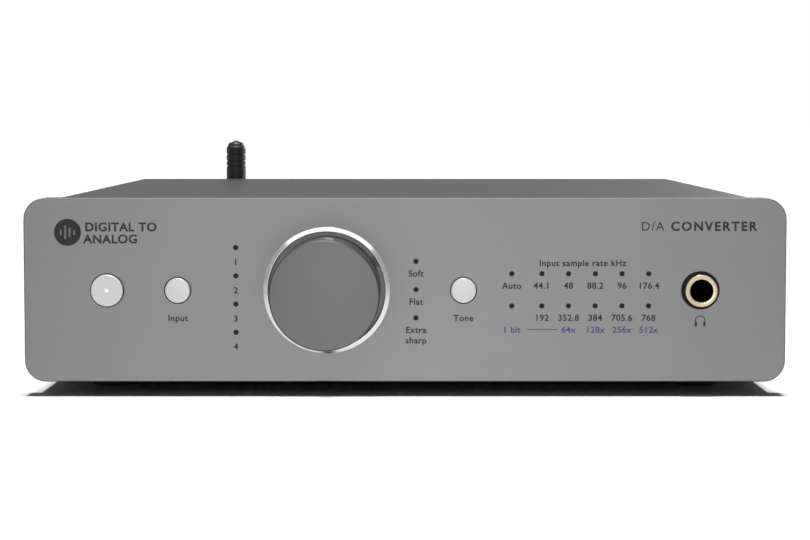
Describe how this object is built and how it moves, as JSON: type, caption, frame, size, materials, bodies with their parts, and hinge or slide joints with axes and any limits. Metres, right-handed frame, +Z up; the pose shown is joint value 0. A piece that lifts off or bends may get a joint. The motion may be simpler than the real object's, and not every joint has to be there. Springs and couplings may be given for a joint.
{
  "type": "desktop digital to analogue converter",
  "caption": "Low wide audio converter with a thick metal front panel, large volume knob, round buttons, indicator windows, headphone socket, folded cover and tilting antenna.",
  "frame": {"origin": "on the surface the feet stand on, in the middle of the object's box", "axes": "+Z up, the front panel faces -Y, +X to the right of someone facing the panel"},
  "size_m": [0.215, 0.2022, 0.07],
  "materials": {
    "panel_aluminium": "fine bead-blasted anodised grey",
    "polished_ring": "diamond-turned bright",
    "knob_aluminium": "fine bead-blasted anodised grey",
    "painted_steel": "satin dark grey powder coat",
    "plated_steel": "zinc plated",
    "rubber": "matt black",
    "black_screw": "black zinc",
    "board_laminate": "green solder mask",
    "cap_plastic": "satin silver",
    "light_pipe": "clear",
    "window_plastic": "smoked clear",
    "lamp": "clear resin",
    "black_plastic": "fine texture",
    "white_plastic": "satin",
    "red_plastic": "satin",
    "orange_plastic": "satin",
    "gold": "gold plated",
    "nickel": "nickel plated",
    "antenna_rubber": "satin black",
    "ribbon_plastic": "white flat cable",
    "lead_jacket": "black jacket",
    "shield_can": "tinned",
    "chip_resin": "black epoxy",
    "capacitor_sleeve": "dark sleeve"
  },
  "bodies": {
    "case": {"front_panel": "panel_aluminium", "knob_ring": "polished_ring", "top_cover": "painted_steel", "base_tray": "painted_steel", "front_bracket": "plated_steel", "rear_panel": "painted_steel", "feet": "rubber", "foot_screws": "black_screw", "case_screws": "black_screw", "panel_screws": "plated_steel", "board_screws": "plated_steel", "board_standoffs": "plated_steel", "main_board": "board_laminate", "control_board": "board_laminate", "ribbon_cable": "ribbon_plastic", "control_switches": "black_plastic", "input_light_guide": "window_plastic", "filter_light_guide": "window_plastic", "rate_light_guide": "window_plastic", "indicator_lamps": "lamp", "encoder_body": "nickel", "encoder_nut": "nickel", "headphone_ferrule": "gold", "headphone_socket": "black_plastic", "headphone_contacts": "nickel", "xlr_socket_left": "black_plastic", "xlr_socket_right": "black_plastic", "xlr_pins": "gold", "phono_barrels": "gold", "left_phono_insulator": "white_plastic", "right_phono_insulator": "red_plastic", "coaxial_insulators": "orange_plastic", "output_phono_block": "black_plastic", "coaxial_blocks": "black_plastic", "optical_sockets": "black_plastic", "usb_shell": "nickel", "usb_tongue": "white_plastic", "power_inlet": "black_plastic", "power_inlet_pin": "nickel", "antenna_socket": "gold", "antenna_socket_nut": "gold", "antenna_coupling": "gold", "antenna_lead": "lead_jacket", "wireless_module": "shield_can", "integrated_circuits": "chip_resin", "capacitors": "capacitor_sleeve"},
    "volume_knob": {"volume_knob": "knob_aluminium", "encoder_shaft": "plated_steel"},
    "power_button": {"power_button": "cap_plastic", "power_light_pipe": "light_pipe", "power_switch_plunger": "white_plastic"},
    "input_button": {"input_button": "cap_plastic", "input_switch_plunger": "white_plastic"},
    "filter_button": {"filter_button": "cap_plastic", "filter_switch_plunger": "white_plastic"},
    "optical_shutter_1": {"optical_shutter_1": "black_plastic"},
    "optical_shutter_2": {"optical_shutter_2": "black_plastic"},
    "antenna_base": {"antenna_base": "antenna_rubber", "antenna_hinge_pin": "plated_steel"},
    "antenna_mast": {"antenna_mast": "antenna_rubber"}
  },
  "joints": [
    {"name": "volume_turn", "type": "hinge", "parent": "case", "child": "volume_knob", "pos_m": [-0.0221, -0.10113, 0.0302], "axis": [0, 1, 0], "continuous": true},
    {"name": "power_button_press", "type": "slide", "parent": "case", "child": "power_button", "axis": [0, 1, 0], "range_m": [0, 0.0005], "stiffness_N_per_m": 1200, "springref_m": -0.0004},
    {"name": "input_button_press", "type": "slide", "parent": "case", "child": "input_button", "axis": [0, 1, 0], "range_m": [0, 0.0005], "stiffness_N_per_m": 1200, "springref_m": -0.0004},
    {"name": "filter_button_press", "type": "slide", "parent": "case", "child": "filter_button", "axis": [0, 1, 0], "range_m": [0, 0.0005], "stiffness_N_per_m": 1200, "springref_m": -0.0004},
    {"name": "optical_shutter_1_swing", "type": "hinge", "parent": "case", "child": "optical_shutter_1", "pos_m": [-0.018, 0.08023, 0.02305], "axis": [-1, 0, 0], "range_deg": [0, 88], "stiffness_Nm_per_rad": 0.0008, "springref_deg": -20.05},
    {"name": "optical_shutter_2_swing", "type": "hinge", "parent": "case", "child": "optical_shutter_2", "pos_m": [-0.043, 0.08023, 0.02305], "axis": [-1, 0, 0], "range_deg": [0, 88], "stiffness_Nm_per_rad": 0.0008, "springref_deg": -20.05},
    {"name": "antenna_swivel", "type": "hinge", "parent": "case", "child": "antenna_base", "pos_m": [-0.068, 0.09728, 0.041], "axis": [0, 1, 0], "range_deg": [-180, 180]},
    {"name": "antenna_tilt", "type": "hinge", "parent": "antenna_base", "child": "antenna_mast", "pos_m": [-0.068, 0.09728, 0.041], "axis": [-1, 0, 0], "range_deg": [0, 90]}
  ]
}
